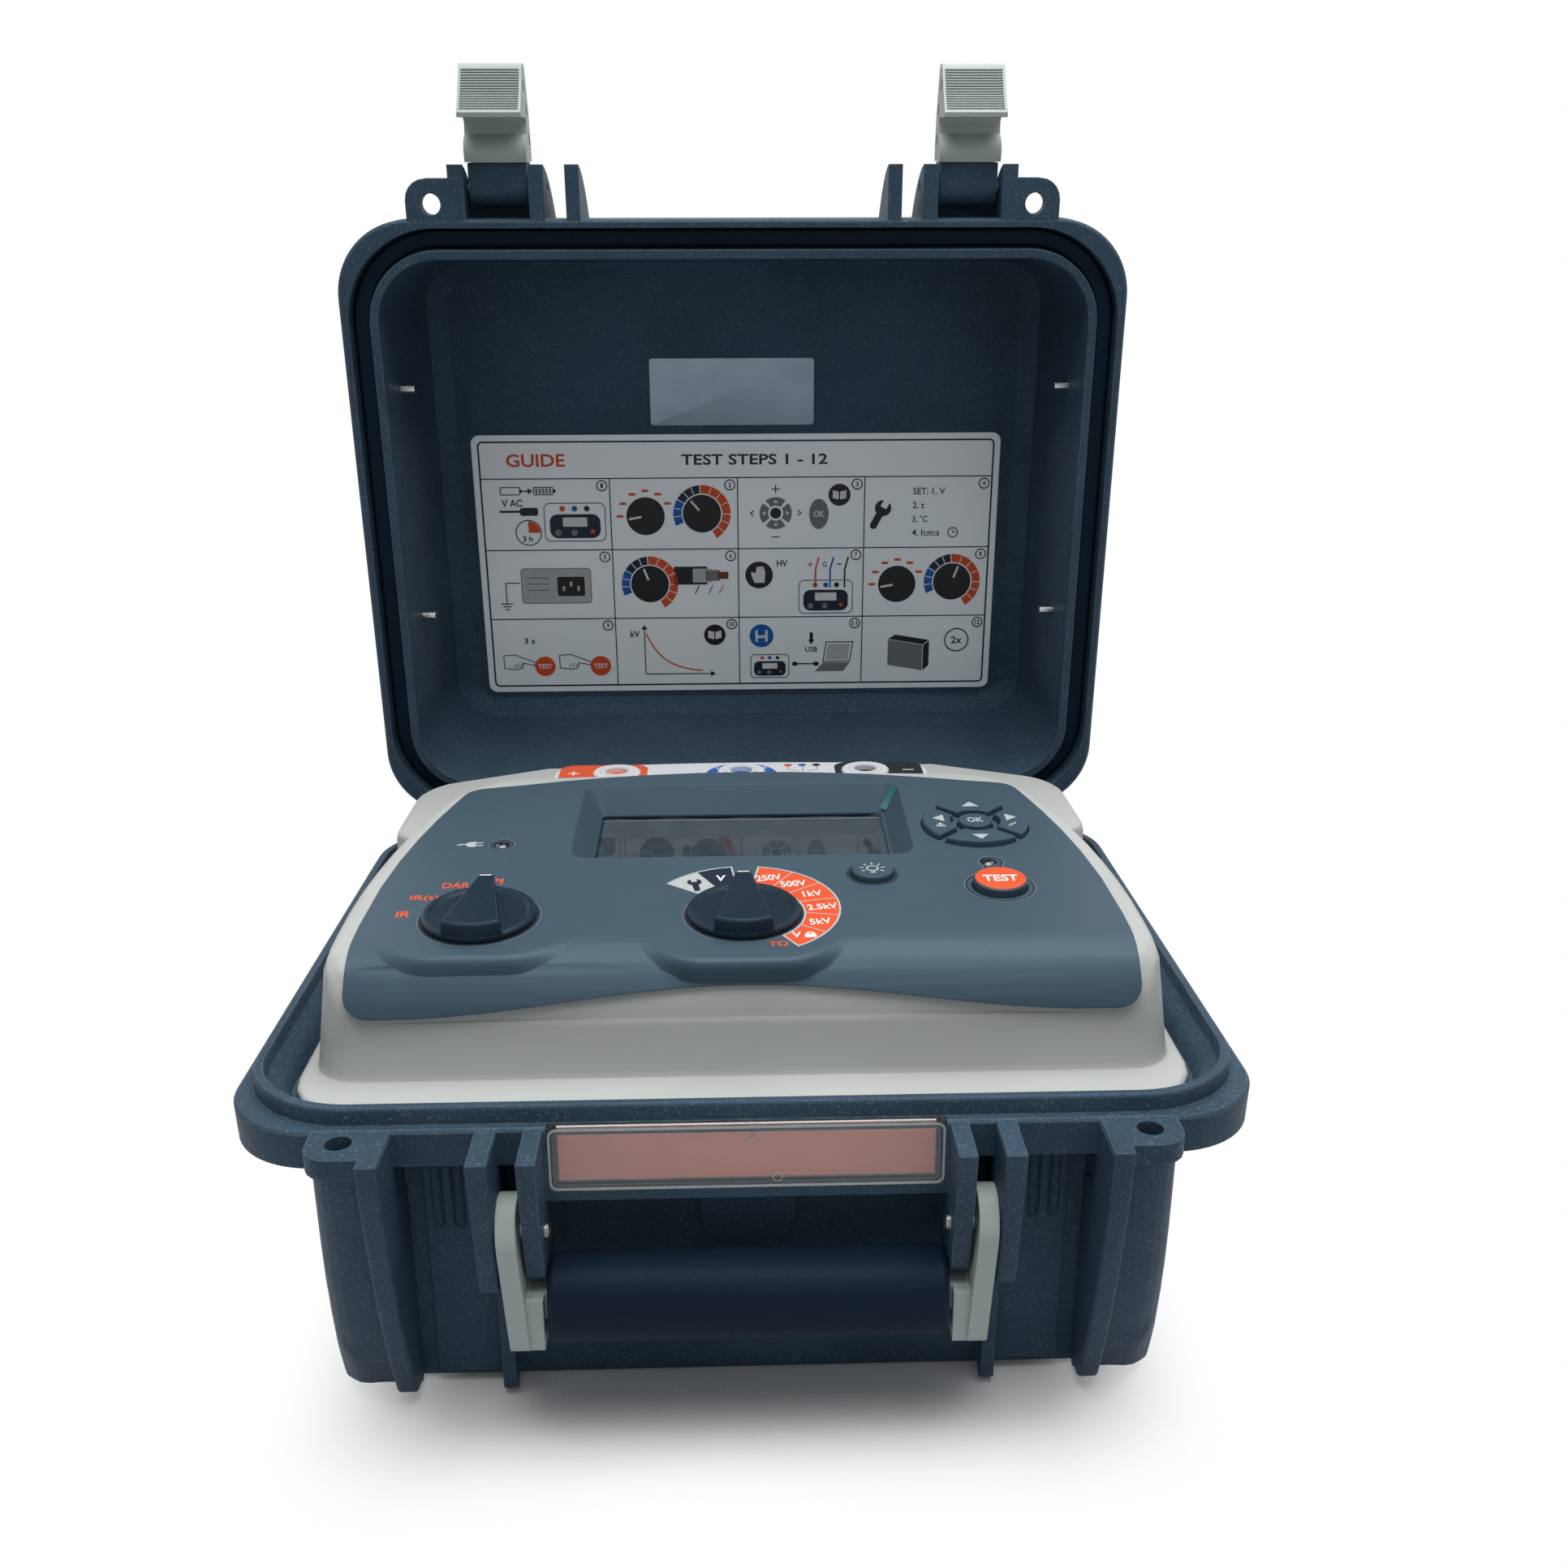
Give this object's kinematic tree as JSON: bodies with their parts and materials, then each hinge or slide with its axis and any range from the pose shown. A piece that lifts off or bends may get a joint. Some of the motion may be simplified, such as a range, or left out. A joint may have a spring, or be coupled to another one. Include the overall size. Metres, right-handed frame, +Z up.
{
  "type": "insulation resistance tester",
  "caption": "Portable insulation resistance tester in a hinged carrying case, with a sunk display, rotary knobs, keys, lead terminals, lid latches and a carrying handle.",
  "frame": {"origin": "on the floor under the middle of the case base, on its flat underside", "axes": "+X to the right as seen from the handle side, +Y to the hinge side, +Z up; the lid stands open at rest"},
  "size_m": [0.315, 0.3599, 0.4167],
  "materials": {
    "case_plastic": "fine grained moulded plastic",
    "panel_grey": "fine textured moulded plastic",
    "fascia_slate": "satin",
    "key_slate": "satin",
    "test_orange": "satin",
    "knob_black": "satin",
    "latch_grey": "satin",
    "rubber_black": "matt",
    "steel": "bright",
    "brass": "bright",
    "clear_cover": "clear gloss",
    "plate_red": "satin",
    "display_glass": "gloss",
    "dark_module": "matt",
    "board_green": "satin",
    "terminal_white": "satin",
    "led_dark": "gloss"
  },
  "bodies": {
    "base": {"case_base": "case_plastic", "panel_housing": "panel_grey", "fascia": "fascia_slate", "hinge_pin_left": "steel", "hinge_pin_right": "steel", "handle_pin_left": "steel", "handle_pin_right": "steel", "contact_positive": "brass", "contact_guard": "brass", "contact_negative": "brass", "name_plate_cover": "clear_cover", "name_plate": "plate_red", "display_window": "display_glass", "lcd_module": "dark_module", "switch_mode": "dark_module", "switch_range": "dark_module", "battery_pack": "dark_module", "hv_module": "dark_module", "power_supply": "dark_module", "mains_inlet": "dark_module", "main_board": "board_green", "keypad_board": "board_green", "terminal_plate": "terminal_white", "terminal_positive": "terminal_white", "terminal_guard": "terminal_white", "terminal_negative": "terminal_white", "power_led": "led_dark", "test_led": "led_dark"},
    "lid": {"case_lid": "case_plastic", "lid_gasket": "rubber_black", "latch_pin_left": "steel", "latch_pin_right": "steel", "lid_screw_1": "steel", "lid_screw_2": "steel", "lid_screw_3": "steel", "lid_screw_4": "steel"},
    "latch_left": {"latch_left": "latch_grey", "latch_leaf_left": "case_plastic"},
    "latch_right": {"latch_right": "latch_grey", "latch_leaf_right": "case_plastic"},
    "handle": {"handle_frame": "latch_grey", "handle_grip": "rubber_black"},
    "knob_mode": {"knob_mode": "knob_black", "spindle_mode": "steel"},
    "knob_range": {"knob_range": "knob_black", "spindle_range": "steel"},
    "key_up": {"key_up": "key_slate"},
    "key_down": {"key_down": "key_slate"},
    "key_left": {"key_left": "key_slate"},
    "key_right": {"key_right": "key_slate"},
    "key_ok": {"key_ok": "key_slate"},
    "key_backlight": {"key_backlight": "key_slate"},
    "test_button": {"test_button": "test_orange"}
  },
  "joints": [
    {"name": "lid_hinge", "type": "hinge", "parent": "base", "child": "lid", "pos_m": [0, 0.1349, 0.09925], "axis": [1, 0, 0], "range_deg": [0, 85]},
    {"name": "latch_left_hinge", "type": "hinge", "parent": "lid", "child": "latch_left", "pos_m": [-0.0922, 0.12581, 0.3724], "axis": [1, 0, 0], "range_deg": [0, 90]},
    {"name": "latch_right_hinge", "type": "hinge", "parent": "lid", "child": "latch_right", "pos_m": [0.0922, 0.12581, 0.3724], "axis": [1, 0, 0], "range_deg": [0, 90]},
    {"name": "handle_swing", "type": "hinge", "parent": "base", "child": "handle", "pos_m": [0, -0.132, 0.07], "axis": [1, 0, 0], "range_deg": [-95, 6]},
    {"name": "knob_mode_turn", "type": "hinge", "parent": "base", "child": "knob_mode", "pos_m": [-0.087, -0.05601, 0.13828], "axis": [0, -0.0698, 0.9976], "range_deg": [0, 90]},
    {"name": "knob_range_turn", "type": "hinge", "parent": "base", "child": "knob_range", "pos_m": [0, -0.05601, 0.13828], "axis": [0, -0.0698, 0.9976], "range_deg": [-144, 48]},
    {"name": "key_up_press", "type": "slide", "parent": "base", "child": "key_up", "axis": [0, 0.0698, -0.9976], "range_m": [0, 0.0012], "stiffness_N_per_m": 600, "springref_m": -0.0002},
    {"name": "key_down_press", "type": "slide", "parent": "base", "child": "key_down", "axis": [0, 0.0698, -0.9976], "range_m": [0, 0.0012], "stiffness_N_per_m": 600, "springref_m": -0.0002},
    {"name": "key_left_press", "type": "slide", "parent": "base", "child": "key_left", "axis": [0, 0.0698, -0.9976], "range_m": [0, 0.0012], "stiffness_N_per_m": 600, "springref_m": -0.0002},
    {"name": "key_right_press", "type": "slide", "parent": "base", "child": "key_right", "axis": [0, 0.0698, -0.9976], "range_m": [0, 0.0012], "stiffness_N_per_m": 600, "springref_m": -0.0002},
    {"name": "key_ok_press", "type": "slide", "parent": "base", "child": "key_ok", "axis": [0, 0.0698, -0.9976], "range_m": [0, 0.0012], "stiffness_N_per_m": 600, "springref_m": -0.0002},
    {"name": "key_backlight_press", "type": "slide", "parent": "base", "child": "key_backlight", "axis": [0, 0.0698, -0.9976], "range_m": [0, 0.0012], "stiffness_N_per_m": 600, "springref_m": -0.0002},
    {"name": "test_button_press", "type": "slide", "parent": "base", "child": "test_button", "axis": [0, 0.0698, -0.9976], "range_m": [0, 0.0012], "stiffness_N_per_m": 600, "springref_m": -0.0002}
  ]
}
